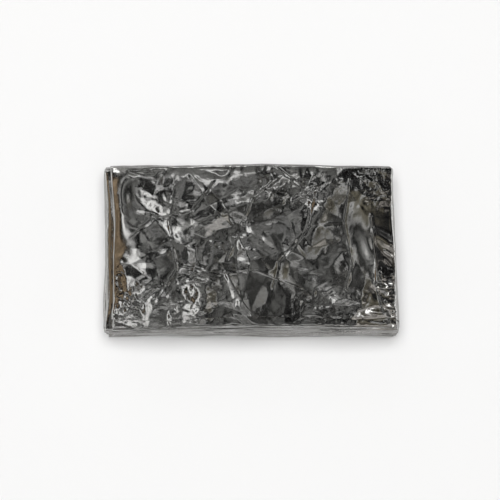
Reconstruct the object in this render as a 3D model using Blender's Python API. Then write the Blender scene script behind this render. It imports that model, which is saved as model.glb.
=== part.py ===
"""Emergency foil blanket, folded flat as it is kept in a first-aid box.

One sheet of silvered film is pleated across its width into a strip. The strip is doubled end to
end, and the doubled strip is fan-folded back and forth into a flat stack. The solid is that
back-and-forth section of the doubled strip, with its layers a little apart.

Metres, +Z up. The origin is the middle of the underside. +X runs along the stack, from the end
with the loose upper fold to the end where the top layer rounds over, and -Y is the near side.
"""

import math
from collections import namedtuple

import bmesh
import bpy
from mathutils import Vector

MM = 0.001

# The sheet and how it is folded
SHEET_LENGTH = 2.100
SHEET_WIDTH = 1.300
PLEATS = 17
FAN_PANELS = 8

STRIP_WIDTH = SHEET_WIDTH / PLEATS
PANEL_LENGTH = SHEET_LENGTH / 2 / FAN_PANELS

# The doubled strip holds 34 plies of film with the air between them
LAYER = 1.75 * MM
GAP = 0.50 * MM
PITCH = LAYER + GAP
FOLD_RADIUS = PITCH / 2
STACK_HEIGHT = FAN_PANELS * PITCH - GAP
SOFT_EDGE = 0.45 * MM
BEVEL_FROM = math.radians(60)
SHARP_FROM = math.radians(40)

# A panel's flat run is what its share of the turns leaves of its length
FLAT_RUN = PANEL_LENGTH - (FAN_PANELS - 1) * math.pi * FOLD_RADIUS / FAN_PANELS
HALF_RUN = FLAT_RUN / 2
HALF_WIDTH = STRIP_WIDTH / 2

# How finely the section is cut
TOP_STEPS = 30
LOWER_STEPS = 12
TURN_STEPS = 6
WIDTH_STEPS = 12

# How far each layer reaches past the neat stack, in mm, from the lowest layer up
Reach = namedtuple("Reach", "left right near far")
REACHES = (
    Reach(left=0.6, right=0.2, near=0.3, far=-0.4),
    Reach(left=-0.5, right=0.1, near=-0.4, far=0.3),
    Reach(left=-0.4, right=-0.6, near=0.4, far=0.5),
    Reach(left=0.7, right=-0.5, near=0.1, far=-0.3),
    Reach(left=0.6, right=0.5, near=-0.5, far=-0.1),
    Reach(left=-0.2, right=0.4, near=0.2, far=0.4),
    Reach(left=-0.1, right=0.1, near=0.5, far=-0.2),
    Reach(left=-0.8, right=0.2, near=-0.1, far=0.2),
)

# The ends aren't quite square, in mm at the near and far edges, and they wander
RIGHT_SKEW = 1.0
LEFT_SKEW = 0.7
LEFT_HOLLOW = 0.5
END_WAVE = 0.35
END_WAVE_LENGTH = 0.041
END_WAVE_TURN = 540.0

# Waviness of the long edges
EDGE_WAVE = 0.35
EDGE_WAVE_LENGTH = 0.083
EDGE_WAVE_TURN = 620.0

# The stack is fullest in the middle and flattens to its ends and edges, as shares of its height
CROWN = 0.03
END_DROOP = 0.15
EDGE_DROOP = 0.11
DROOP_POWER = 6
SWELL = 0.024
SWELL_LENGTH = 0.058
SWELL_WIDTH = 0.049

# The main creases of the upper side: centre, length and width in mm, and rise above it
Crease = namedtuple("Crease", "x y angle length width rise")
CREASES = (
    Crease(x=58.5, y=-14.0, angle=-72, length=44, width=3.4, rise=0.95),
    Crease(x=61.5, y=-23.0, angle=-28, length=15, width=3.2, rise=-0.95),
    Crease(x=62.0, y=-14.0, angle=12, length=13, width=3.0, rise=0.75),
    Crease(x=60.5, y=3.0, angle=-35, length=14, width=3.2, rise=0.70),
    Crease(x=57.0, y=-32.0, angle=2, length=22, width=3.2, rise=-0.85),
    Crease(x=33.0, y=20.0, angle=64, length=46, width=5.0, rise=0.75),
    Crease(x=18.0, y=-12.0, angle=-38, length=52, width=5.5, rise=-0.80),
    Crease(x=-8.0, y=16.0, angle=21, length=48, width=5.0, rise=0.80),
    Crease(x=-22.0, y=-18.0, angle=77, length=40, width=5.0, rise=0.70),
    Crease(x=-41.0, y=8.0, angle=-52, length=50, width=5.5, rise=-0.85),
    Crease(x=-52.0, y=-22.0, angle=34, length=28, width=4.6, rise=0.75),
    Crease(x=-59.0, y=21.0, angle=83, length=32, width=4.2, rise=0.70),
)
CREASE_FADE_POWER = 4
CREASE_DEPTH = 5.0 * MM

# Bright silvered film
FILM_COLOUR = (0.72, 0.72, 0.71, 1)
FILM_METALLIC = 1.0
FILM_ROUGHNESS = 0.18


def section_line():
    """The middle of the doubled strip as points (x, z), back and forth from the lowest layer up."""
    points = []
    for panel in range(FAN_PANELS):
        way = 1 if panel % 2 == 0 else -1
        height = LAYER / 2 + panel * PITCH
        top = panel == FAN_PANELS - 1
        steps = TOP_STEPS if top else LOWER_STEPS
        for step in range(steps + 1):
            points.append((way * HALF_RUN * (2 * step / steps - 1), height))
        if top:
            break
        for step in range(1, TURN_STEPS):
            angle = math.pi * step / TURN_STEPS
            x = way * (HALF_RUN + FOLD_RADIUS * math.sin(angle))
            points.append((x, height + FOLD_RADIUS * (1 - math.cos(angle))))
    return points


def folded_strip():
    """The strip's middle surface: its section line swept across the strip's width."""
    bm = bmesh.new()
    line = [bm.verts.new((x, -HALF_WIDTH, z)) for x, z in section_line()]
    swept = [bm.edges.new(pair) for pair in zip(line, line[1:])]
    for _ in range(WIDTH_STEPS):
        made = bmesh.ops.extrude_edge_only(bm, edges=swept)["geom"]
        moved = [item for item in made if isinstance(item, bmesh.types.BMVert)]
        bmesh.ops.translate(bm, verts=moved, vec=(0, STRIP_WIDTH / WIDTH_STEPS, 0))
        new = set(moved)
        swept = [
            item
            for item in made
            if isinstance(item, bmesh.types.BMEdge) and new.issuperset(item.verts)
        ]
    bmesh.ops.recalc_face_normals(bm, faces=bm.faces)
    mesh = bpy.data.meshes.new("folded_strip")
    bm.to_mesh(mesh)
    bm.free()
    return mesh


def between(values, height):
    """The value of a column of REACHES at a height in the stack, in metres."""
    place = (height - LAYER / 2) / PITCH
    place = min(max(place, 0.0), FAN_PANELS - 1.0)
    low = min(int(place), FAN_PANELS - 2)
    share = place - low
    return (values[low] * (1 - share) + values[low + 1] * share) * MM


def fullness(x, y):
    """How high the stack stands at a place, as a share of its neat height."""
    end = abs(x / HALF_RUN) ** DROOP_POWER
    edge = abs(y / HALF_WIDTH) ** DROOP_POWER
    swell = math.sin(math.tau * x / SWELL_LENGTH) * math.cos(math.tau * y / SWELL_WIDTH)
    return 1 + CROWN - END_DROOP * min(end, 1) - EDGE_DROOP * min(edge, 1) + SWELL * swell


def crease_rise(x, y):
    """The height that the main creases add to the upper side at a place, in metres."""
    rise = 0.0
    for crease in CREASES:
        turn = math.radians(crease.angle)
        dx, dy = x / MM - crease.x, y / MM - crease.y
        along = dx * math.cos(turn) + dy * math.sin(turn)
        across = dy * math.cos(turn) - dx * math.sin(turn)
        fade = math.exp(-((2 * along / crease.length) ** CREASE_FADE_POWER))
        rise += crease.rise * fade * math.exp(-((across / crease.width) ** 2))
    return rise * MM


def settled(point):
    """Where a point of the neat stack lies once the film has slid, swelled and creased."""
    x, y, z = point
    side = y / HALF_WIDTH
    end = (x / HALF_RUN + 1) / 2
    wander = END_WAVE * MM * math.sin(math.tau * y / END_WAVE_LENGTH + END_WAVE_TURN * z)
    right = between([row.right for row in REACHES], z) - RIGHT_SKEW * MM * side + wander
    left = between([row.left for row in REACHES], z) + wander
    left += (LEFT_SKEW * side + LEFT_HOLLOW * (2 * side * side - 1)) * MM
    wave = EDGE_WAVE * MM * math.sin(math.tau * x / EDGE_WAVE_LENGTH + EDGE_WAVE_TURN * z)
    near = between([row.near for row in REACHES], z) + wave
    far = between([row.far for row in REACHES], z) - wave
    depth = min(max((z - STACK_HEIGHT + CREASE_DEPTH) / CREASE_DEPTH, 0.0), 1.0)
    return Vector(
        (
            x + end * right - (1 - end) * left,
            y + (1 + side) / 2 * far - (1 - side) / 2 * near,
            z * fullness(x, y) + depth * depth * (3 - 2 * depth) * crease_rise(x, y),
        )
    )


def film_material():
    """Bright silvered film."""
    material = bpy.data.materials.new("silver_film")
    material.use_nodes = True
    shader = material.node_tree.nodes["Principled BSDF"]
    shader.inputs["Base Color"].default_value = FILM_COLOUR
    shader.inputs["Metallic"].default_value = FILM_METALLIC
    shader.inputs["Roughness"].default_value = FILM_ROUGHNESS
    return material


def build_blanket():
    """The folded blanket: the strip thickened to its plies, its edges softened, then settled."""
    strip = bpy.data.objects.new("strip_guide", folded_strip())
    bpy.context.scene.collection.objects.link(strip)
    plies = strip.modifiers.new("plies", "SOLIDIFY")
    plies.thickness = LAYER
    plies.offset = 0
    plies.use_even_offset = True
    edges = strip.modifiers.new("soft_edges", "BEVEL")
    edges.width = SOFT_EDGE
    edges.segments = 1
    edges.limit_method = "ANGLE"
    edges.angle_limit = BEVEL_FROM
    edges.use_clamp_overlap = False
    thick = strip.evaluated_get(bpy.context.evaluated_depsgraph_get())
    mesh = bpy.data.meshes.new_from_object(thick)
    mesh.name = "blanket"
    bpy.data.objects.remove(strip)
    for vertex in mesh.vertices:
        vertex.co = settled(vertex.co)
    mesh.shade_smooth()
    mesh.set_sharp_from_angle(angle=SHARP_FROM)
    mesh.materials.append(film_material())
    blanket = bpy.data.objects.new("blanket", mesh)
    bpy.context.scene.collection.objects.link(blanket)


for old in list(bpy.data.objects):
    bpy.data.objects.remove(old)
build_blanket()
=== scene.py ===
# Emergency foil blanket: one sheet of silvered film, pleated, doubled and fan-folded into a flat stack
# Metres, +Z up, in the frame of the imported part. The flat sheet is made first, with its crumples
# pressed in as heights, then a Geometry Nodes tree folds it, and then the stack settles.

import math
import random
from collections import namedtuple

import bpy
import numpy as np
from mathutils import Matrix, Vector
from mathutils.bvhtree import BVHTree
from mathutils.geometry import delaunay_2d_cdt


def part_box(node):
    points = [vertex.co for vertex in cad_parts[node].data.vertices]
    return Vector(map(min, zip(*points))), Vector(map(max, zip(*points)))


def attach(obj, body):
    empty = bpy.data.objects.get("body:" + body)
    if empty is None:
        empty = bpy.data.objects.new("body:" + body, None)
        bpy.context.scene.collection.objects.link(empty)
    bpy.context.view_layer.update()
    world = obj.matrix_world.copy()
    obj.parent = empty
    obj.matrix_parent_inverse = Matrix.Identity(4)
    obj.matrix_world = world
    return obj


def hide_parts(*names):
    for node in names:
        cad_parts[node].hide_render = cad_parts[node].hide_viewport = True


mm = 0.001
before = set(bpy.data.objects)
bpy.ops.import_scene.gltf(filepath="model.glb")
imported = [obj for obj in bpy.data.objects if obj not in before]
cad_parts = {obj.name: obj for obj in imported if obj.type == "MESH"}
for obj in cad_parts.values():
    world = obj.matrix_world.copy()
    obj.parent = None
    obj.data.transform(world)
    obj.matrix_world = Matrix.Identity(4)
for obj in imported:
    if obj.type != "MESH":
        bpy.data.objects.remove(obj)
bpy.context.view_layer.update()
stackLow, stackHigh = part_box("blanket")
print("frame loaded, stack", [round((b - a) / mm, 1) for a, b in zip(stackLow, stackHigh)], "mm")

reachRow = namedtuple("reachRow", "left right near far")
creaseRow = namedtuple("creaseRow", "x y angle length width rise")
waveRow = namedtuple("waveRow", "size length turn")

# The sheet and how its stack lies: the same sizes as the solids
blanket = {
    "sheetLength": 2.100,
    "sheetWidth": 1.300,
    "pleats": 17,
    "panels": 8,
    "layer": 1.75 * mm,
    "gap": 0.50 * mm,
    # how far each layer reaches past the neat stack, in mm, from the lowest layer up
    "reaches": [
        reachRow(left=0.6, right=0.2, near=0.3, far=-0.4),
        reachRow(left=-0.5, right=0.1, near=-0.4, far=0.3),
        reachRow(left=-0.4, right=-0.6, near=0.4, far=0.5),
        reachRow(left=0.7, right=-0.5, near=0.1, far=-0.3),
        reachRow(left=0.6, right=0.5, near=-0.5, far=-0.1),
        reachRow(left=-0.2, right=0.4, near=0.2, far=0.4),
        reachRow(left=-0.1, right=0.1, near=0.5, far=-0.2),
        reachRow(left=-0.8, right=0.2, near=-0.1, far=0.2),
    ],
    "rightSkew": 1.0,  # mm, how far from square the ends are at the near and far edges
    "leftSkew": 0.7,
    "leftHollow": 0.5,
    # how the ends and edges wander: mm, wave length in m, turn in radians for each metre of height
    "endWave": waveRow(size=0.35, length=0.041, turn=540.0),
    "edgeWave": waveRow(size=0.35, length=0.083, turn=620.0),
    "crown": 0.03,  # shares of the height: fuller in the middle, flatter at the ends and edges
    "endDroop": 0.15,
    "edgeDroop": 0.11,
    "droopPower": 6,
    "swell": (0.024, 0.058, 0.049),  # share of the height, wave lengths along and across in m
    # main creases of the upper side: centre, length, width and rise in mm
    "creases": [
        creaseRow(x=58.5, y=-14.0, angle=-72, length=44, width=3.4, rise=0.95),
        creaseRow(x=61.5, y=-23.0, angle=-28, length=15, width=3.2, rise=-0.95),
        creaseRow(x=62.0, y=-14.0, angle=12, length=13, width=3.0, rise=0.75),
        creaseRow(x=60.5, y=3.0, angle=-35, length=14, width=3.2, rise=0.70),
        creaseRow(x=57.0, y=-32.0, angle=2, length=22, width=3.2, rise=-0.85),
        creaseRow(x=33.0, y=20.0, angle=64, length=46, width=5.0, rise=0.75),
        creaseRow(x=18.0, y=-12.0, angle=-38, length=52, width=5.5, rise=-0.80),
        creaseRow(x=-8.0, y=16.0, angle=21, length=48, width=5.0, rise=0.80),
        creaseRow(x=-22.0, y=-18.0, angle=77, length=40, width=5.0, rise=0.70),
        creaseRow(x=-41.0, y=8.0, angle=-52, length=50, width=5.5, rise=-0.85),
        creaseRow(x=-52.0, y=-22.0, angle=34, length=28, width=4.6, rise=0.75),
        creaseRow(x=-59.0, y=21.0, angle=83, length=32, width=4.2, rise=0.70),
    ],
    "creaseDepth": 5.0 * mm,  # how far down into the stack they reach
    "creaseFade": 4,
    "hiddenWiden": 1.5,  # how much wider they are in the plies that don't show
}
pleats = blanket["pleats"]
panels = blanket["panels"]
pleatWidth = blanket["sheetWidth"] / pleats
halfLength = blanket["sheetLength"] / 2
halfLayer = blanket["layer"] / 2
layerPitch = blanket["layer"] + blanket["gap"]
foldRadius = layerPitch / 2
stackHeight = panels * layerPitch - blanket["gap"]
flatRun = halfLength / panels - (panels - 1) * math.pi * foldRadius / panels
halfRun = flatRun / 2
halfWidth = pleatWidth / 2
panelPeriod = flatRun + math.pi * foldRadius
topStart = (panels - 1) * panelPeriod
print("sizes set, pleat", round(pleatWidth / mm, 2), "mm, flat run", round(flatRun / mm, 2), "mm")


def smooth(share):
    share = np.clip(share, 0.0, 1.0)
    return share * share * (3 - 2 * share)


# The grid of the flat sheet: closer columns and rows where the film bends, fine cells where it shows
flatGrid = {
    "runColumns": 22,  # columns along one panel
    "turnColumns": 6,  # columns round one turn of the fan fold
    "cutColumns": (0.12, 0.45, 0.95, 1.6, 2.5, 3.6),  # mm, extra columns beside the cut ends
    "cornerColumns": 4,  # columns round each half of the doubling fold
    "cornerSpan": 3.0 * mm,  # how much of the length is bent round the doubling fold
    "outerRows": 14,  # rows across the outer ply
    "plyRows": 3,  # rows across each inner ply
    "frontStrip": 12.0 * mm,  # how much of the second ply shows past the outer one's free edge
    "stripRows": 2,
    "bend": 0.5 * mm,  # how much of a ply is bent into each pleat fold
    "fineRun": 11,  # parts of a fine cell along a panel
    "fineTopTurn": 2,  # along the turn into the top panel
    "fineAcross": 11,  # across the ply
}
gridColumn = namedtuple("gridColumn", "u half panel kind parts")
gridRow = namedtuple("gridRow", "v ply bent parts")


def sheetColumns():
    # the columns from one cut end to the other; half 0 runs up the stack and half 1 back down it
    first = []
    for panel in range(panels):
        start = panel * panelPeriod
        top = panel == panels - 1
        run = flatRun - flatGrid["cornerSpan"] / 2 if top else flatRun
        for step in range(flatGrid["runColumns"]):
            u = start + run * step / flatGrid["runColumns"]
            first.append(gridColumn(u, 0, panel, "run", flatGrid["fineRun"]))
            if panel == 0 and step == 0:
                cuts = [u + place * mm for place in flatGrid["cutColumns"]]
                first += [gridColumn(cut, 0, 0, "run", 1) for cut in cuts]
        if not top:
            parts = flatGrid["fineTopTurn"] if panel == panels - 2 else 1
            for step in range(flatGrid["turnColumns"]):
                u = start + flatRun + math.pi * foldRadius * step / flatGrid["turnColumns"]
                first.append(gridColumn(u, 0, panel, "turn", parts))
    for step in range(flatGrid["cornerColumns"]):
        share = 1 - step / flatGrid["cornerColumns"]
        u = halfLength - flatGrid["cornerSpan"] / 2 * share
        first.append(gridColumn(u, 0, panels - 1, "corner", 1))
    # a column names the cells that follow it, so the way back takes each kind from its far side
    second = [gridColumn(halfLength, 1, panels - 1, "corner", 1)]
    for here, after in zip(first[:0:-1], first[-2::-1]):
        u = blanket["sheetLength"] - here.u
        second.append(gridColumn(u, 1, after.panel, after.kind, after.parts))
    return first + second + [gridColumn(blanket["sheetLength"], 1, 0, "end", 1)]


def sheetRows():
    rows = []
    bend = flatGrid["bend"]
    for ply in range(pleats):
        low = 0.0 if ply == 0 else bend
        high = pleatWidth if ply == pleats - 1 else pleatWidth - bend
        start = ply * pleatWidth
        if ply > 0:
            rows.append(gridRow(start, ply, True, 1))
        parts = flatGrid["fineAcross"] if ply == 0 else 1
        steps = flatGrid["outerRows"] if ply == 0 else flatGrid["plyRows"]
        if ply == 1:
            stripStart = high - flatGrid["frontStrip"]
            steps -= 1
            behind = [low + (stripStart - low) * i / steps for i in range(steps)]
            rows += [gridRow(start + place, ply, False, 1) for place in behind]
            low, steps, parts = stripStart, flatGrid["stripRows"], flatGrid["fineAcross"]
        for step in range(steps):
            rows.append(gridRow(start + low + (high - low) * step / steps, ply, False, parts))
        if ply < pleats - 1:
            rows.append(gridRow(start + high, ply, True, 1))
    return rows + [gridRow(blanket["sheetWidth"], pleats - 1, False, 1)]


def isFine(column, row):
    # the cells that show: the outer ply on the top panel and round each fold where it lies outermost,
    # and the front strip of the ply below it
    outer = row.ply == 0 or (row.ply == 1 and row.bent and row.v <= pleatWidth)
    strip = row.ply == 1 and row.parts > 1
    if column.kind == "turn":
        top = column.panel == panels - 2
        return column.panel % 2 == column.half and (outer or (top and strip))
    if column.kind == "corner":
        return outer
    return column.half == 0 and column.panel == panels - 1 and (outer or strip)


def flatSheet():
    # the sheet's points (u, v), its faces, and for each point whether it lies in a fine cell
    columns, rows = sheetColumns(), sheetRows()
    columnStart = np.concatenate([[0], np.cumsum([c.parts for c in columns])])
    rowStart = np.concatenate([[0], np.cumsum([r.parts for r in rows])])
    found, points, fine = {}, [], []

    def corner(i, a, j, b, shown=False):
        # part a of column i's cell and part b of row j's
        key = (int(columnStart[i]) + a, int(rowStart[j]) + b)
        if key not in found:
            u, v = columns[i].u, rows[j].v
            if a:
                u += (columns[i + 1].u - u) * a / columns[i].parts
            if b:
                v += (rows[j + 1].v - v) * b / rows[j].parts
            found[key] = len(points)
            points.append((u, v))
            fine.append(0.0)
        if shown:
            fine[found[key]] = 1.0
        return found[key]

    faces, coarse = [], []
    for i in range(len(columns) - 1):
        for j in range(len(rows) - 1):
            if not isFine(columns[i], rows[j]):
                coarse.append((i, j))
                continue
            for a in range(columns[i].parts):
                for b in range(rows[j].parts):
                    ring = [(a, b), (a, b + 1), (a + 1, b + 1), (a + 1, b)]
                    faces.append([corner(i, c, j, d, True) for c, d in ring])
    for i, j in coarse:
        # a coarse cell takes in the fine points on its sides, so that the sheet stays whole
        w, h = columns[i].parts, rows[j].parts
        ring = [(0, b) for b in range(h)] + [(a, h) for a in range(w)]
        ring += [(w, b) for b in range(h, 0, -1)] + [(a, 0) for a in range(w, 0, -1)]
        face = []
        for a, b in ring:
            key = (int(columnStart[i]) + a, int(rowStart[j]) + b)
            if key in found or (a in (0, w) and b in (0, h)):
                face.append(corner(i, a, j, b))
        faces.append(face)
    return np.array(points), faces, np.array(fine)


# How the plies lie in a layer, and how their folds stray along its long edges
plies = {
    "seed": 11,
    "spread": 1.1,  # how unevenly the plies share the layer's thickness
    "press": 0.5,  # how far the inner plies are pressed together inside the layer
    "pressEdge": 6.0 * mm,  # where that begins, from the long edges and from the ends
    "pressEnd": 9.0 * mm,
    "stray": (-1.5, 0.1),  # how far a pleat fold lies past the layer's edge, in mm
    "strayWave": 0.3,  # mm, how much that changes along the fold
    "waveShares": (0.6, 0.4),  # two waves of different length are added
    "waveLengths": (0.018, 0.060),
    # the sheet's free edge on the top panel lies back from the near side: place along and setback in mm
    "freeEdge": [(-70, 5.2), (-40, 4.1), (-5, 5.6), (30, 5.4), (52, 4.6), (70, 5.0)],
    "freeEdgeBelow": 2.2,  # mm, its setback on the other panels
    "freeStray": 0.4,  # the share of a fold's stray that the free edge has
    "outerDepth": 0.3,  # how deep the outer ply lies in the layer, in shares of one ply
    "cutEnd": 3.5 * mm,  # over what length the layer sinks at the sheet's cut ends
    "cutPress": 0.12,  # the share of its thickness that is left there
    "skirt": 1.6 * mm,  # over what length the uppermost ply rounds down over them
    "underTop": 7.0,  # the extra share of the thickness that lies under the outer ply on the top panel
}


def wavering(rng, s, lengths):
    # a slow wave along the film between -1 and 1
    total = np.zeros_like(s)
    for share in plies["waveShares"]:
        length = rng.uniform(*lengths)
        total += share * np.sin(math.tau * (s / length + rng.random()))
    return total


def plyPlaces(u, v):
    # each point's distance from the middle of its layer, and its reach past the layer's edge, in metres
    rng = random.Random(plies["seed"])
    s = np.minimum(u, blanket["sheetLength"] - u)
    back = u > halfLength
    q = s - np.minimum(np.floor(s / panelPeriod), panels - 1) * panelPeriod
    onTop = (s >= topStart - math.pi * foldRadius) & ~back
    place = v / pleatWidth
    ply = np.minimum(np.floor(place), pleats - 1).astype(int)
    along = place - ply
    edges, strays = [], []
    for half in (0, 1):
        waves = [wavering(rng, s, plies["waveLengths"]) for _ in range(pleats)]
        shares = [np.exp(plies["spread"] * wave) for wave in waves]
        shares[0] = shares[0] + plies["underTop"] * smooth((s - topStart) / foldRadius + math.pi)
        heights = np.cumsum([np.zeros_like(s)] + shares, axis=0)
        edges.append(heights / heights[-1])
        strays.append([])
        for fold in range(pleats + 1):
            reach = rng.uniform(*plies["stray"])
            strays[half].append(reach + plies["strayWave"] * wavering(rng, s, plies["waveLengths"]))
    xTop = (halfRun - (s - topStart)) / mm
    stops, setbacks = zip(*plies["freeEdge"])
    free = np.where(onTop, -np.interp(xTop, stops, setbacks), -plies["freeEdgeBelow"])
    pick = np.arange(len(s))
    half = back.astype(int)
    edges, strays = np.array(edges), np.array(strays)
    strays[:, 0] = strays[:, 0] * plies["freeStray"] + free
    low, high = edges[half, ply, pick], edges[half, ply + 1, pick]
    # a ply lies half way through its share, and reaches the next ply's at the fold between them
    bend = flatGrid["bend"] / pleatWidth
    share = 0.5 - 0.5 * np.clip(1 - along / bend, 0, 1) * (ply > 0)
    share += 0.5 * np.clip(1 - (1 - along) / bend, 0, 1) * (ply < pleats - 1)
    depth = halfLayer * (1 - (low + (high - low) * share))
    side = np.abs(np.abs(((v / pleatWidth) % 2) - 1) - 0.5) * pleatWidth
    inside = smooth((halfWidth - side) / plies["pressEdge"])
    inside = inside * smooth(np.minimum(q, flatRun - q) / plies["pressEnd"])
    outer = halfLayer * (1 - plies["outerDepth"] / pleats)
    depth = np.where(ply > 0, depth * (1 - plies["press"] * inside), outer)
    # the cut ends, in the lowest layer, sink onto the floor, and the uppermost ply closes over them
    skirt = back & (ply == 0)
    toEnd = 1 - np.clip(s / plies["skirt"], 0, 1)
    sunk = np.where(skirt, 1 - np.sqrt(1 - toEnd**2), 1 - smooth(s / plies["cutEnd"]))
    height = np.where(back, depth, -depth)
    height += sunk * (1 - np.where(skirt, 0, plies["cutPress"])) * (-halfLayer - height)
    depth = np.where(back, height, -height)
    reach = strays[half, ply, pick] * (1 - along) + strays[half, ply + 1, pick] * along
    reach = reach * np.abs(2 * along - 1) ** 2
    # across the outer ply the setback of its free edge is taken up evenly
    reach = np.where(ply == 0, np.where(along < 0.5, free * (1 - 2 * along), reach), reach)
    return depth, reach * mm


# Crumples pressed into the outer ply: networks of flat facets, then wrinkles placed one by one.
# Places are in mm from the middle of the ply as it lies before its free edge is drawn back.
facetRow = namedtuple("facetRow", "spacing height stretch turn")
patchRow = namedtuple("patchRow", "x y wide deep share")
lineRow = namedtuple("lineRow", "width rise points")
crumples = {
    "seed": 5,
    "facets": [
        facetRow(spacing=12.0, height=0.52, stretch=1.7, turn=62),
        facetRow(spacing=5.0, height=0.34, stretch=1.5, turn=-35),
        facetRow(spacing=1.9, height=0.22, stretch=1.3, turn=20),
        facetRow(spacing=1.15, height=0.16, stretch=1.2, turn=50),
    ],
    "jitter": 0.42,  # how far a facet's corner strays, in shares of the spacing
    "area": (86.0, 52.0),  # half sizes in mm of the area that the facets cover
    "lowest": -0.45,  # mm, the deepest crumple, over the plies pressed together below
    "edgeLowest": -0.05,  # the same along the edges, where they lie close
    "edgeStrip": (1.0, 5.0),  # mm, where that begins to change, and over what width
    "bounce": 0.5,  # what would go deeper stands up again, by this share
    # patches with more of the fine crackle: centre and radii in mm, and how much
    "crackle": [
        patchRow(x=61.0, y=30.0, wide=13.0, deep=13.0, share=1.0),
        patchRow(x=20.0, y=27.0, wide=26.0, deep=12.0, share=0.55),
        patchRow(x=-30.0, y=-25.0, wide=30.0, deep=14.0, share=0.5),
        patchRow(x=-58.0, y=-30.0, wide=12.0, deep=12.0, share=0.8),
        patchRow(x=-61.5, y=-20.0, wide=6.0, deep=20.0, share=0.8),
        patchRow(x=36.0, y=-29.0, wide=22.0, deep=9.0, share=0.5),
        patchRow(x=-14.0, y=4.0, wide=22.0, deep=12.0, share=0.4),
        patchRow(x=-42.0, y=20.0, wide=18.0, deep=13.0, share=0.3),
        patchRow(x=64.5, y=-35.5, wide=4.5, deep=5.0, share=1.0),
    ],
    "plainCrackle": 0.16,  # everywhere else
    "foldCrackle": 0.35,  # round the lower folds
    "plainFacets": 0.5,  # how much of the second facets stands where there is no crackle
    "finestFrom": 0.3,  # the crackle at which the finest facets begin
    # smooth places, where the film is drawn tight
    "smooth": [
        patchRow(x=59.0, y=5.0, wide=12.0, deep=12.0, share=0.9),
        patchRow(x=56.5, y=-28.5, wide=3.5, deep=7.0, share=0.85),
        patchRow(x=-60.0, y=12.0, wide=10.0, deep=20.0, share=0.6),
        patchRow(x=4.0, y=-24.0, wide=18.0, deep=9.0, share=0.5),
    ],
    "smoothing": 0.8,  # how much of the coarse facets they take away
    # wrinkles of the right end
    "wrinkles": [
        creaseRow(x=62.4, y=-3.2, angle=-36, length=4.8, width=0.60, rise=0.36),
        creaseRow(x=61.9, y=-8.2, angle=-55, length=5.6, width=0.70, rise=0.14),
        creaseRow(x=62.0, y=-15.9, angle=12, length=13.0, width=3.40, rise=-0.34),
        creaseRow(x=59.2, y=-14.0, angle=60, length=5.0, width=1.10, rise=0.20),
        creaseRow(x=60.2, y=-17.2, angle=-9, length=5.0, width=0.80, rise=-0.12),
        creaseRow(x=59.8, y=-19.5, angle=-3, length=6.5, width=1.10, rise=0.30),
        creaseRow(x=59.8, y=-21.6, angle=-6, length=6.5, width=0.80, rise=-0.30),
        creaseRow(x=62.4, y=-23.8, angle=32, length=4.6, width=1.00, rise=0.32),
        creaseRow(x=63.4, y=-26.8, angle=-16, length=3.4, width=0.85, rise=0.26),
        creaseRow(x=62.6, y=-29.6, angle=-8, length=4.6, width=0.90, rise=0.36),
        creaseRow(x=62.8, y=-31.8, angle=-8, length=4.8, width=0.80, rise=-0.34),
        creaseRow(x=56.4, y=-34.0, angle=-4, length=9.5, width=1.00, rise=-0.36),
    ],
    # long sharp creases, as lines through points in mm, with their width and rise
    "lines": [
        lineRow(0.42, 0.36, [(55.3, 17.0), (55.9, 9.0), (56.4, -21.0), (57.6, -26.0), (60.3, -36.0)]),
        lineRow(0.35, 0.17, [(47.0, 36.0), (43.0, 12.0), (45.5, -9.0), (41.0, -28.0)]),
        lineRow(0.35, -0.16, [(30.0, 30.0), (26.0, 8.0), (12.0, -9.0), (9.0, -26.0)]),
        lineRow(0.35, 0.16, [(24.0, -24.0), (2.0, -14.0), (-16.0, -16.0), (-37.0, -8.0)]),
        lineRow(0.35, 0.17, [(16.0, 34.0), (1.0, 22.0), (-7.0, 3.0), (-12.0, -10.0)]),
        lineRow(0.35, -0.16, [(-14.0, 32.0), (-26.0, 17.0), (-44.0, 14.0), (-57.0, 3.0)]),
        lineRow(0.35, 0.16, [(-33.0, 35.0), (-38.0, 12.0), (-34.0, -12.0), (-44.0, -30.0)]),
    ],
    "lineFade": 4.0,  # mm, over what length a line fades at each end
    "foldShift": 17.0,  # mm, from one lower fold's strip of the networks to the next
    "foldShare": 0.6,  # how much of the crumples stands round the lower folds
    "plyDrop": 0.05,  # mm, how much lower the same crumples lie in the second ply
    # the free edge stands up on the top panel: place along and rise in mm, and over what width
    "lip": [(-70, 0.05), (-45, 0.22), (-20, 0.08), (10, 0.18), (40, 0.10), (64, 0.14)],
    "lipWidth": 1.4,
}


def facetField(rng, row):
    # a sampler of random heights joined by flat facets with sharp creases between them
    wide, deep = crumples["area"]
    jitter = crumples["jitter"]
    across = row.spacing
    along = row.spacing * row.stretch
    turn = math.radians(row.turn)
    span = math.hypot(wide, deep)
    points = []
    for i in range(-int(span / along) - 2, int(span / along) + 3):
        for j in range(-int(span / across) - 2, int(span / across) + 3):
            a = (i + rng.uniform(-jitter, jitter)) * along
            b = (j + rng.uniform(-jitter, jitter)) * across
            height = rng.uniform(-1, 1)
            x = a * math.cos(turn) - b * math.sin(turn)
            y = a * math.sin(turn) + b * math.cos(turn)
            if abs(x) < wide + along and abs(y) < deep + along:
                points.append(Vector((x, y, height)))
    flat, _, faces, origins, _, _ = delaunay_2d_cdt([p.to_2d() for p in points], [], [], 0, 1e-6)
    heights = [points[origin[0]].z for origin in origins]
    tree = BVHTree.FromPolygons([(p.x, p.y, h) for p, h in zip(flat, heights)], faces)
    above, down = 5.0, Vector((0, 0, -1))

    def sample(x, y):
        hits = (tree.ray_cast(Vector((a, b, above)), down)[0] for a, b in zip(x, y))
        return np.array([hit.z if hit else 0.0 for hit in hits])

    return sample


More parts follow.
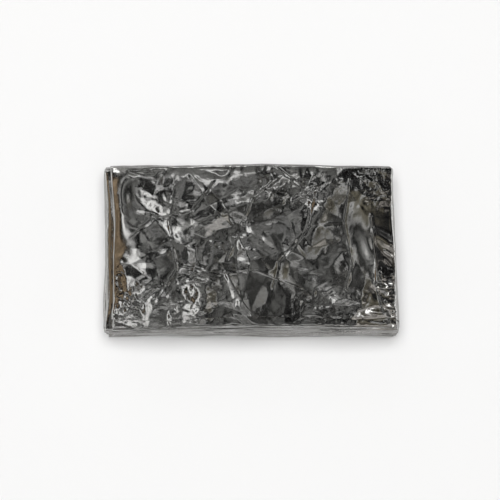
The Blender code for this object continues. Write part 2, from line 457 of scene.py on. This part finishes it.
def patches(rows, x, y):
    # the share of the strongest patch at each point, level inside it and soft at its rim
    total = np.zeros_like(x)
    for row in rows:
        away = ((x - row.x) / row.wide) ** 2 + ((y - row.y) / row.deep) ** 2
        total = np.maximum(total, row.share * np.exp(-(away**2)))
    return total


def creaseHeights(rows, x, y, widen=1.0, troughsOnly=False):
    # the height of listed creases at points in mm
    total = np.zeros_like(x)
    for row in rows:
        if troughsOnly and row.rise > 0:
            continue
        turn = math.radians(row.angle)
        along = (x - row.x) * math.cos(turn) + (y - row.y) * math.sin(turn)
        across = (y - row.y) * math.cos(turn) - (x - row.x) * math.sin(turn)
        fade = np.exp(-((2 * along / (row.length * widen)) ** blanket["creaseFade"]))
        total += row.rise * fade * np.exp(-((across / (row.width * widen)) ** 2))
    return total


def lineHeights(rows, x, y):
    # ridges and troughs along broken lines, fading at both ends
    total = np.zeros_like(x)
    for row in rows:
        places = [Vector(p) for p in row.points]
        whole = sum((b - a).length for a, b in zip(places, places[1:]))
        nearest, at, before = np.full_like(x, 1e3), np.zeros_like(x), 0.0
        for a, b in zip(places, places[1:]):
            length = (b - a).length
            along = np.clip(((x - a.x) * (b.x - a.x) + (y - a.y) * (b.y - a.y)) / length**2, 0, 1)
            away = np.hypot(x - a.x - along * (b.x - a.x), y - a.y - along * (b.y - a.y))
            at = np.where(away < nearest, before + along * length, at)
            nearest = np.minimum(away, nearest)
            before += length
        fade = smooth(np.minimum(at, whole - at) / crumples["lineFade"])
        total += row.rise * fade * np.exp(-nearest / row.width)
    return total


def pressedHeights(u, v, fine):
    # how far the outer ply stands out from its place, in metres, and how crackled it is
    rng = random.Random(crumples["seed"])
    fields = [facetField(rng, row) for row in crumples["facets"]]
    shown = fine > 0
    s = np.minimum(u, blanket["sheetLength"] - u)[shown]
    v = v[shown]
    below = v > pleatWidth + 2 * flatGrid["bend"]
    y = (np.abs(((v / pleatWidth + 1) % 2) - 1) * pleatWidth - halfWidth) / mm
    panel = np.minimum(np.floor(s / panelPeriod), panels - 1)
    q = s - panel * panelPeriod
    onTop = s >= topStart - math.pi * foldRadius
    xTop = (halfRun - (s - topStart)) / mm
    # a lower fold takes its crumples from another strip of the same networks
    shift = crumples["foldShift"] * (panel - panels / 2 + 1)
    xField = np.where(onTop, xTop, (q - flatRun) / mm + shift)
    tight = patches(crumples["smooth"], xTop, y)
    crackle = np.maximum(patches(crumples["crackle"], xTop, y), crumples["plainCrackle"])
    crackle = np.where(onTop, crackle * (1 - tight), crumples["foldCrackle"])
    calm = 1 - crumples["smoothing"] * tight * onTop
    heights = np.zeros_like(y)
    finest = np.clip((crackle - crumples["finestFrom"]) / (1 - crumples["finestFrom"]), 0, 1)
    shares = (calm, calm * (crumples["plainFacets"] + crackle), crackle, finest)
    for row, field, share in zip(crumples["facets"], fields, shares):
        heights += row.height * share * field(xField, y)
    heights += np.where(onTop, creaseHeights(crumples["wrinkles"], xTop, y), 0)
    heights += np.where(onTop, lineHeights(crumples["lines"], xTop, y), 0)
    stops, rises = zip(*crumples["lip"])
    lip = np.interp(xTop, stops, rises) * np.exp(-v / mm / crumples["lipWidth"])
    heights += np.where(onTop & ~below, lip, 0)
    # the free edge and the pleat fold at the far side stay over the plies below
    begins, width = crumples["edgeStrip"]
    edge = smooth((halfWidth / mm - np.abs(y) - begins) / width)
    lowest = crumples["edgeLowest"] + (crumples["lowest"] - crumples["edgeLowest"]) * edge
    heights = np.where(heights < lowest, lowest + crumples["bounce"] * (lowest - heights), heights)
    # round a lower fold the crumples fade where the film goes back into the stack
    around = np.sin(np.clip((q - flatRun) / foldRadius, 0, math.pi))
    heights = np.where(onTop, heights, heights * around * crumples["foldShare"])
    # the ply below keeps the same crumples, a little lower, so that the two never cross
    heights = np.where(below, heights - crumples["plyDrop"], heights)
    lift, mask = np.zeros_like(fine), np.zeros_like(fine)
    lift[shown] = heights * mm
    mask[shown] = crackle
    return lift, mask


def feed(tree, slot, value):
    # links a socket into the slot, or sets the slot to a plain value
    if isinstance(value, fieldValue):
        value = value.socket
    if isinstance(value, bpy.types.NodeSocket):
        tree.links.new(value, slot)
    else:
        slot.default_value = value


class fieldValue:
    # a number inside a node tree: arithmetic on it adds Math nodes
    def __init__(self, tree, socket):
        self.tree, self.socket = tree, socket

    def math(self, operation, *others, clamp=False):
        node = self.tree.nodes.new("ShaderNodeMath")
        node.operation = operation
        node.use_clamp = clamp
        for slot, value in zip(node.inputs, (self, *others)):
            feed(self.tree, slot, value)
        return fieldValue(self.tree, node.outputs[0])

    def __add__(self, other):
        return self.math("ADD", other)

    def __sub__(self, other):
        return self.math("SUBTRACT", other)

    def __mul__(self, other):
        return self.math("MULTIPLY", other)

    def __truediv__(self, other):
        return self.math("DIVIDE", other)


def mixNode(tree, factor, first, second, kind="RGBA"):
    # each of the two is a socket or a colour of three parts
    node = tree.nodes.new("ShaderNodeMix")
    node.data_type = kind
    for name, value in (("Factor", factor), ("A", first), ("B", second)):
        feed(tree, node.inputs[name], (*value, 1) if isinstance(value, tuple) else value)
    return node.outputs["Result"]


def mapRange(tree, value, source, target=(0, 1)):
    node = tree.nodes.new("ShaderNodeMapRange")
    for name, end in zip(("From Min", "From Max", "To Min", "To Max"), (*source, *target)):
        node.inputs[name].default_value = end
    feed(tree, node.inputs["Value"], value)
    return node.outputs["Result"]


def noiseNode(tree, place, scale, detail=2):
    node = tree.nodes.new("ShaderNodeTexNoise")
    node.inputs["Scale"].default_value = scale
    node.inputs["Detail"].default_value = detail
    tree.links.new(place, node.inputs["Vector"])
    return node


def addObject(name, data):
    made = bpy.data.objects.new(name, data)
    bpy.context.scene.collection.objects.link(made)
    return made


def foldTree():
    # takes the flat sheet, with u along X and v along Y, to the neat stack
    tree = bpy.data.node_groups.new("foldFilm", "GeometryNodeTree")
    sockets = tree.interface
    sockets.new_socket("Sheet", in_out="INPUT", socket_type="NodeSocketGeometry")
    numbers = {
        "Half length": halfLength,
        "Pleat width": pleatWidth,
        "Panels": float(panels),
        "Flat run": flatRun,
        "Fold radius": foldRadius,
        "Layer": blanket["layer"],
        "Layer pitch": layerPitch,
        "Corner span": flatGrid["cornerSpan"],
    }
    for name in numbers:
        sockets.new_socket(name, in_out="INPUT", socket_type="NodeSocketFloat")
    sockets.new_socket("Film", in_out="INPUT", socket_type="NodeSocketMaterial")
    sockets.new_socket("Stack", in_out="OUTPUT", socket_type="NodeSocketGeometry")
    given = tree.nodes.new("NodeGroupInput")
    out = tree.nodes.new("NodeGroupOutput")

    def number(name):
        return fieldValue(tree, given.outputs[name])

    def attribute(name):
        node = tree.nodes.new("GeometryNodeInputNamedAttribute")
        node.data_type = "FLOAT"
        node.inputs["Name"].default_value = name
        return fieldValue(tree, node.outputs["Attribute"])

    half, width, count = number("Half length"), number("Pleat width"), number("Panels")
    run, radius, pitch = number("Flat run"), number("Fold radius"), number("Layer pitch")
    split = tree.nodes.new("ShaderNodeSeparateXYZ")
    tree.links.new(tree.nodes.new("GeometryNodeInputPosition").outputs[0], split.inputs[0])
    u, v = fieldValue(tree, split.outputs["X"]), fieldValue(tree, split.outputs["Y"])

    # pleats: the width goes back and forth across the strip
    across = v.math("PINGPONG", width) - width / 2
    across = across + across.math("SIGN") * attribute("reach")
    # doubling: past half its length the strip comes back on its other side
    bent = number("Corner span") / 2
    corner = ((u - half + bent) / (bent * 2)).math("ADD", 0, clamp=True) * math.pi
    depth = attribute("depth") + attribute("lift")
    offset = depth * corner.math("COSINE") * -1
    along = u.math("PINGPONG", half).math("MINIMUM", half - bent) + depth * corner.math("SINE")
    # fan fold: every second panel runs back, and a turn joins each to the next
    period = run + radius * math.pi
    panel = (along / period).math("FLOOR").math("MAXIMUM", 0).math("MINIMUM", count - 1)
    place = along - panel * period
    way = (panel.math("MODULO", 2) * -2) + 1
    turn = (place - run).math("MAXIMUM", 0) / radius * panel.math("LESS_THAN", count - 1.5)
    reach = radius - way * offset
    x = way * (place.math("MINIMUM", run) - run / 2 + reach * turn.math("SINE"))
    z = number("Layer") / 2 + panel * pitch + radius - reach * turn.math("COSINE")

    joined = tree.nodes.new("ShaderNodeCombineXYZ")
    for slot, value in zip(joined.inputs, (x, across, z)):
        tree.links.new(value.socket, slot)
    moved = tree.nodes.new("GeometryNodeSetPosition")
    shaded = tree.nodes.new("GeometryNodeSetShadeSmooth")
    real = tree.nodes.new("GeometryNodeRealizeInstances")
    painted = tree.nodes.new("GeometryNodeSetMaterial")
    tree.links.new(joined.outputs[0], moved.inputs["Position"])
    tree.links.new(given.outputs["Film"], painted.inputs["Material"])
    film = given.outputs["Sheet"]
    for node in (moved, shaded, real, painted):
        tree.links.new(film, node.inputs["Geometry"])
        film = node.outputs["Geometry"]
    tree.links.new(film, out.inputs["Stack"])
    return tree, numbers


def settle(points, fine):
    # the same slide, swell and creases as the solids', at points of the neat stack in metres
    x, y, z = points.T
    side, end = y / halfWidth, (x / halfRun + 1) / 2
    heights = halfLayer + np.arange(panels) * layerPitch

    def column(name):
        return np.interp(z, heights, [getattr(row, name) for row in blanket["reaches"]])

    ends, edges = blanket["endWave"], blanket["edgeWave"]
    wander = ends.size * np.sin(math.tau * y / ends.length + ends.turn * z)
    right = column("right") - blanket["rightSkew"] * side + wander
    left = column("left") + wander + blanket["leftSkew"] * side
    left += blanket["leftHollow"] * (2 * side**2 - 1)
    wave = edges.size * np.sin(math.tau * x / edges.length + edges.turn * z)
    near, far = column("near") + wave, column("far") - wave
    depth = smooth((z - stackHeight + blanket["creaseDepth"]) / blanket["creaseDepth"])
    power = blanket["droopPower"]
    share, swellAlong, swellAcross = blanket["swell"]
    swell = np.sin(math.tau * x / swellAlong) * np.cos(math.tau * y / swellAcross)
    full = 1 + blanket["crown"] + share * swell
    full -= blanket["endDroop"] * np.minimum(np.abs(x / halfRun) ** power, 1)
    full -= blanket["edgeDroop"] * np.minimum(np.abs(side) ** power, 1)
    creased = creaseHeights(blanket["creases"], x / mm, y / mm)
    # the hidden plies lie lower and smoother, so that none comes up through the outer one
    hidden = creaseHeights(blanket["creases"], x / mm, y / mm, blanket["hiddenWiden"], True)
    rise = np.where(fine > 0, creased, hidden)
    return np.column_stack(
        [
            x + (end * right - (1 - end) * left) * mm,
            y + ((1 + side) / 2 * far - (1 - side) / 2 * near) * mm,
            z * full + depth * rise * mm,
        ]
    )


# Silvered film
filmLook = {
    "silver": (0.82, 0.82, 0.81),
    "dull": (0.70, 0.69, 0.66),
    "metallic": 1.0,
    "mottle": (90.0, 5),  # patches for each metre, and their detail
    "mottleRange": (0.3, 0.7),  # the part of the noise that the roughness follows
    "roughness": (0.07, 0.15),
    "crinkle": (260.0, 2),  # creases of the crinkle for each metre, and their detail
    "crinkleFine": (900.0, 1),
    "fineShare": 0.35,
    "crinkleDepth": 0.12 * mm,
    "crinkleEverywhere": 0.12,  # shares of that depth
    "crinkleCrackled": 1.3,
    "ridgeRoughness": 0.55,
    "ridgeDistortion": 0.4,
}


def crinkleGroup():
    # height of a net of sharp little creases that run every way
    group = bpy.data.node_groups.new("crinkle", "ShaderNodeTree")
    sockets = group.interface
    kinds = {"Vector": "NodeSocketVector", "Scale": "NodeSocketFloat", "Detail": "NodeSocketFloat"}
    for name, kind in kinds.items():
        sockets.new_socket(name, in_out="INPUT", socket_type=kind)
    sockets.new_socket("Height", in_out="OUTPUT", socket_type="NodeSocketFloat")
    given = group.nodes.new("NodeGroupInput")
    out = group.nodes.new("NodeGroupOutput")
    ridges = group.nodes.new("ShaderNodeTexNoise")
    ridges.noise_type = "RIDGED_MULTIFRACTAL"
    ridges.normalize = True
    ridges.inputs["Roughness"].default_value = filmLook["ridgeRoughness"]
    ridges.inputs["Distortion"].default_value = filmLook["ridgeDistortion"]
    for name in kinds:
        group.links.new(given.outputs[name], ridges.inputs[name])
    group.links.new(ridges.outputs["Fac"], out.inputs["Height"])
    return group


def filmMaterial():
    material = bpy.data.materials.new("silverFilm")
    material.use_nodes = True
    tree = material.node_tree
    nodes, links = tree.nodes, tree.links
    shader = nodes["Principled BSDF"]
    shader.inputs["Metallic"].default_value = filmLook["metallic"]
    coords = nodes.new("ShaderNodeTexCoord").outputs["Object"]
    crinkle = crinkleGroup()

    def crinkleAt(scale, detail):
        node = nodes.new("ShaderNodeGroup")
        node.node_tree = crinkle
        node.inputs["Scale"].default_value = scale
        node.inputs["Detail"].default_value = detail
        links.new(coords, node.inputs["Vector"])
        return fieldValue(tree, node.outputs["Height"])

    broad, fine = crinkleAt(*filmLook["crinkle"]), crinkleAt(*filmLook["crinkleFine"])
    height = broad + fine * filmLook["fineShare"]
    crackle = nodes.new("ShaderNodeAttribute")
    crackle.attribute_name = "crackle"
    amount = fieldValue(tree, crackle.outputs["Fac"]) * filmLook["crinkleCrackled"]
    amount = amount + filmLook["crinkleEverywhere"]
    bump = nodes.new("ShaderNodeBump")
    bump.inputs["Distance"].default_value = filmLook["crinkleDepth"]
    feed(tree, bump.inputs["Height"], height * amount)
    links.new(bump.outputs["Normal"], shader.inputs["Normal"])

    mottle = noiseNode(tree, coords, *filmLook["mottle"]).outputs["Fac"]
    rough = mapRange(tree, mottle, filmLook["mottleRange"], filmLook["roughness"])
    links.new(rough, shader.inputs["Roughness"])
    links.new(mixNode(tree, mottle, filmLook["silver"], filmLook["dull"]), shader.inputs["Base Color"])
    return material


def buildFilm():
    points, faces, fine = flatSheet()
    u, v = points.T
    depth, reach = plyPlaces(u, v)
    lift, crackle = pressedHeights(u, v, fine)
    mesh = bpy.data.meshes.new("film")
    mesh.from_pydata(np.column_stack([points, np.zeros(len(points))]).tolist(), [], faces)
    for name, values in (("depth", depth), ("reach", reach), ("lift", lift), ("crackle", crackle)):
        attribute = mesh.attributes.new(name, "FLOAT", "POINT")
        attribute.data.foreach_set("value", values.astype(np.float32))
    uv = mesh.uv_layers.new(name="flat")
    corners = np.zeros(len(mesh.loops), np.int32)
    mesh.loops.foreach_get("vertex_index", corners)
    uv.data.foreach_set("uv", points[corners].astype(np.float32).ravel())
    sheet = addObject("filmFlat", mesh)
    print("flat sheet made,", len(points), "points,", len(faces), "faces")

    tree, numbers = foldTree()
    folder = sheet.modifiers.new("foldFilm", "NODES")
    folder.node_group = tree
    keys = {item.name: item.identifier for item in tree.interface.items_tree if item.in_out == "INPUT"}
    for name, value in numbers.items():
        folder[keys[name]] = value
    folder[keys["Film"]] = filmMaterial()
    folded = sheet.evaluated_get(bpy.context.evaluated_depsgraph_get())
    mesh = bpy.data.meshes.new_from_object(folded)
    bpy.data.objects.remove(sheet)
    neat = np.zeros(len(mesh.vertices) * 3, np.float32)
    mesh.vertices.foreach_get("co", neat)
    settled = settle(neat.reshape(-1, 3).astype(float), fine)
    mesh.vertices.foreach_set("co", settled.astype(np.float32).ravel())
    for name in ("depth", "reach", "lift"):
        mesh.attributes.remove(mesh.attributes[name])
    mesh.update()
    piece = addObject("foilBlanket", mesh)
    mesh.calc_loop_triangles()
    print("film folded and settled,", len(mesh.loop_triangles), "triangles")
    return piece


# The floor, the light and the camera
cardRow = namedtuple("cardRow", "x y turn wide deep soft level warmth")
studio = {
    "floorSize": 3.0,
    "floorColour": (0.86, 0.86, 0.86),
    "floorShadeInMirror": (0.42, 0.42, 0.42),  # painted shade: the darker floor as the film sees it in its reflections
    "floorRoughness": 0.7,
    "floorGrain": 900.0,
    "floorGrainDepth": 0.02 * mm,
    # what the film mirrors overhead, from the left side of the room to the right
    "ceiling": [
        (-1.0, (0.030, 0.029, 0.028)),
        (-0.40, (0.040, 0.038, 0.036)),
        (-0.24, (0.200, 0.200, 0.198)),
        (-0.14, (0.120, 0.120, 0.118)),
        (-0.04, (0.085, 0.085, 0.083)),
        (0.10, (0.040, 0.040, 0.039)),
        (0.24, (0.078, 0.075, 0.066)),
        (0.36, (0.055, 0.050, 0.038)),
        (0.47, (0.010, 0.010, 0.010)),
        (1.0, (0.010, 0.010, 0.010)),
    ],
    # and lower down, where its right side has a dark stretch
    "walls": [
        (-1.0, (0.28, 0.28, 0.28)),
        (0.25, (0.24, 0.24, 0.23)),
        (0.40, (0.20, 0.19, 0.17)),
        (0.51, (0.015, 0.015, 0.015)),
        (0.78, (0.015, 0.015, 0.015)),
        (0.87, (0.20, 0.20, 0.20)),
        (1.0, (0.25, 0.25, 0.25)),
    ],
    # a lit band low on the walls: where it begins, where it is full and where it ends
    "horizon": (0.02, 0.07, 0.16, 0.24),
    "horizonLevel": 0.75,
    "wallTop": (0.42, 0.64),  # the walls fade into the ceiling between these heights on the dome
    # lit and dark cards in it: place on the dome to the right and back, turn in degrees, half sizes,
    # softness, brightness and how brown they are
    "cards": [
        cardRow(0.42, 0.64, -20, 0.26, 0.26, 0.080, 0.008, 0.0),
        cardRow(-0.61, 0.24, 8, 0.150, 0.21, 0.040, 0.15, 1.0),
        cardRow(-0.30, 0.08, 14, 0.045, 0.20, 0.030, 0.42, 0.0),
        cardRow(0.25, 0.30, -24, 0.025, 0.24, 0.020, 0.20, 0.0),
        cardRow(0.02, 0.50, 11, 0.30, 0.030, 0.020, 0.34, 0.0),
        cardRow(0.04, -0.10, -17, 0.24, 0.025, 0.020, 0.26, 0.0),
        cardRow(0.24, -0.26, 33, 0.11, 0.11, 0.060, 0.20, 0.1),
        cardRow(0.45, -0.20, 21, 0.09, 0.20, 0.060, 0.27, 0.2),
        cardRow(0.13, 0.20, -31, 0.040, 0.100, 0.040, 0.008, 0.0),
        cardRow(-0.16, 0.36, 26, 0.080, 0.050, 0.040, 0.008, 0.0),
        cardRow(-0.12, 0.02, 38, 0.070, 0.030, 0.030, 0.012, 0.0),
        cardRow(0.05, 0.36, -42, 0.050, 0.040, 0.030, 0.12, 0.0),
        cardRow(-0.55, -0.30, 30, 0.050, 0.050, 0.020, 1.3, 0.0),
        cardRow(0.56, 0.46, 45, 0.025, 0.050, 0.030, 0.25, 0.0),
        cardRow(-0.45, 0.62, 20, 0.050, 0.040, 0.020, 1.3, 0.0),
        cardRow(0.50, -0.31, 15, 0.060, 0.090, 0.040, 0.9, 0.0),
        cardRow(0.57, -0.50, 25, 0.090, 0.080, 0.020, 1.4, 0.0),
        cardRow(0.63, 0.04, 10, 0.10, 0.17, 0.060, 0.18, 0.25),
        cardRow(0.20, 0.80, 12, 0.100, 0.030, 0.020, 1.0, 0.0),
        cardRow(0.70, -0.58, 40, 0.050, 0.110, 0.020, 1.1, 0.0),
        cardRow(0.12, -0.90, 4, 0.120, 0.040, 0.020, 1.1, 0.0),
        cardRow(-0.06, 0.91, -4, 0.090, 0.040, 0.020, 1.1, 0.0),
        cardRow(-0.86, -0.38, 0, 0.040, 0.120, 0.020, 1.1, 0.0),
        cardRow(0.90, 0.14, 0, 0.040, 0.100, 0.020, 1.1, 0.0),
    ],
    "cardBend": 0.12,  # how far a ripple bends the cards' outlines, and how close it is
    "cardRipple": 5.0,
    "brown": (1.0, 0.75, 0.50),
    "roomPatches": (7.0, 1),  # brighter and darker patches: how many, and their detail
    "patchRange": (0.35, 0.65),
    "roomContrast": (0.0, 2.4),
    "backdrop": (0.9, 0.9, 0.9),
    "elevation": 78.0,  # the camera's, in degrees
    "distance": 0.75,
    "lens": 118.0,
    "aim": (0.0, 0.0, 9.0 * mm),
}
lampRow = namedtuple("lampRow", "name azimuth elevation distance size power mirrored")
lamps = [
    lampRow("overhead", 0, 85, 1.6, (1.40, 1.40), 28.0, False),
    lampRow("backBox", 322, 24, 1.2, (0.32, 0.16), 0.28, True),
    lampRow("frontBox", 215, 24, 1.2, (0.32, 0.16), 0.28, True),
]


def direction(azimuth, elevation):
    # azimuth 0 is +Y and 90 is +X
    a, e = math.radians(azimuth), math.radians(elevation)
    return Vector((math.sin(a) * math.cos(e), math.cos(a) * math.cos(e), math.sin(e)))


def floorMaterial():
    material = bpy.data.materials.new("paleFloor")
    material.use_nodes = True
    tree = material.node_tree
    nodes, links = tree.nodes, tree.links
    shader = nodes["Principled BSDF"]
    shader.inputs["Roughness"].default_value = studio["floorRoughness"]
    coords = nodes.new("ShaderNodeTexCoord").outputs["Object"]
    bump = nodes.new("ShaderNodeBump")
    bump.inputs["Distance"].default_value = studio["floorGrainDepth"]
    links.new(noiseNode(tree, coords, studio["floorGrain"]).outputs["Fac"], bump.inputs["Height"])
    links.new(bump.outputs["Normal"], shader.inputs["Normal"])
    # painted shade in the reflections: the film mirrors a darker floor than the camera sees, as if dark
    # cards lay round the blanket
    mirrored = nodes.new("ShaderNodeLightPath").outputs["Is Glossy Ray"]
    colour = mixNode(tree, mirrored, studio["floorColour"], studio["floorShadeInMirror"])
    links.new(colour, shader.inputs["Base Color"])
    return material


def roomWorld():
    # dark and light sides of a room for the film to mirror, and a plain pale backdrop for the camera
    world = bpy.data.worlds.new("studio")
    world.use_nodes = True
    tree = world.node_tree
    nodes, links = tree.nodes, tree.links
    towards = nodes.new("ShaderNodeTexCoord").outputs["Generated"]

    def splitUp(vector):
        split = nodes.new("ShaderNodeSeparateXYZ")
        links.new(vector, split.inputs[0])
        return [fieldValue(tree, socket) for socket in split.outputs]

    right, _, up = splitUp(towards)
    ripple = noiseNode(tree, towards, studio["cardRipple"]).outputs["Color"]
    across, back, _ = splitUp(mixNode(tree, studio["cardBend"], towards, ripple, "VECTOR"))
    place = mapRange(tree, right, (-1, 1))

    def fromLeftToRight(name):
        ramp = nodes.new("ShaderNodeValToRGB")
        stops = ramp.color_ramp.elements
        while len(stops) < len(studio[name]):
            stops.new(0.5)
        for stop, (x, colour) in zip(stops, studio[name]):
            stop.position = (x + 1) / 2
            stop.color = (*colour, 1)
        links.new(place, ramp.inputs["Fac"])
        return ramp.outputs["Color"]

    begin, full, fade, end = studio["horizon"]
    rising, falling = (up - begin) / (full - begin), (up * -1 + end) / (end - fade)
    lit = rising.math("MINIMUM", falling).math("ADD", 0, clamp=True)
    walls = mixNode(tree, lit, fromLeftToRight("walls"), (studio["horizonLevel"],) * 3)
    height = mapRange(tree, up, studio["wallTop"])
    colour = mixNode(tree, height, walls, fromLeftToRight("ceiling"))
    middle = 0.5 * studio["cardBend"]
    for row in studio["cards"]:
        # the ripple's mean shifts every direction a little, so the card shifts with it
        x, y = row.x * (1 - studio["cardBend"]) + middle, row.y * (1 - studio["cardBend"]) + middle
        cosine, sine = math.cos(math.radians(row.turn)), math.sin(math.radians(row.turn))
        dx, dy = across - x, back - y
        inX = ((dx * cosine + dy * sine).math("ABSOLUTE") * -1 + row.wide) / row.soft
        inY = ((dy * cosine - dx * sine).math("ABSOLUTE") * -1 + row.deep) / row.soft
        mask = inX.math("MINIMUM", inY).math("ADD", 0.5, clamp=True)
        tint = [1 - row.warmth * (1 - part) for part in studio["brown"]]
        colour = mixNode(tree, mask, colour, tuple(row.level * part for part in tint))
    patchy = noiseNode(tree, towards, *studio["roomPatches"]).outputs["Fac"]
    room, backdrop = nodes["Background"], nodes.new("ShaderNodeBackground")
    links.new(colour, room.inputs["Color"])
    strength = mapRange(tree, patchy, studio["patchRange"], studio["roomContrast"])
    links.new(strength, room.inputs["Strength"])
    backdrop.inputs["Color"].default_value = (*studio["backdrop"], 1)
    seen = nodes.new("ShaderNodeMixShader")
    links.new(nodes.new("ShaderNodeLightPath").outputs["Is Camera Ray"], seen.inputs["Fac"])
    links.new(room.outputs[0], seen.inputs[1])
    links.new(backdrop.outputs[0], seen.inputs[2])
    links.new(seen.outputs[0], nodes["World Output"].inputs["Surface"])
    return world


def buildStudio():
    half = studio["floorSize"] / 2
    mesh = bpy.data.meshes.new("floor")
    corners = [(-half, -half, 0), (half, -half, 0), (half, half, 0), (-half, half, 0)]
    mesh.from_pydata(corners, [], [(0, 1, 2, 3)])
    mesh.materials.append(floorMaterial())
    floor = addObject("floor", mesh)
    for row in lamps:
        data = bpy.data.lights.new(row.name, "AREA")
        data.shape = "RECTANGLE"
        data.size, data.size_y = row.size
        data.energy = row.power
        lamp = addObject(row.name, data)
        towards = direction(row.azimuth, row.elevation)
        lamp.location = towards * row.distance
        lamp.visible_glossy = row.mirrored
        lamp.rotation_mode = "QUATERNION"
        lamp.rotation_quaternion = towards.to_track_quat("Z", "Y")
    bpy.context.scene.world = roomWorld()
    bpy.context.scene.view_settings.view_transform = "Standard"
    return floor


def buildCamera():
    data = bpy.data.cameras.new("camera")
    data.lens = studio["lens"]
    camera = addObject("camera", data)
    away = direction(180, studio["elevation"])
    camera.location = Vector(studio["aim"]) + away * studio["distance"]
    camera.rotation_mode = "QUATERNION"
    camera.rotation_quaternion = away.to_track_quat("Z", "Y")
    bpy.context.scene.camera = camera


floor = buildStudio()
buildCamera()
print("studio and camera ready")
film = buildFilm()
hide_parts("blanket")
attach(film, "root")
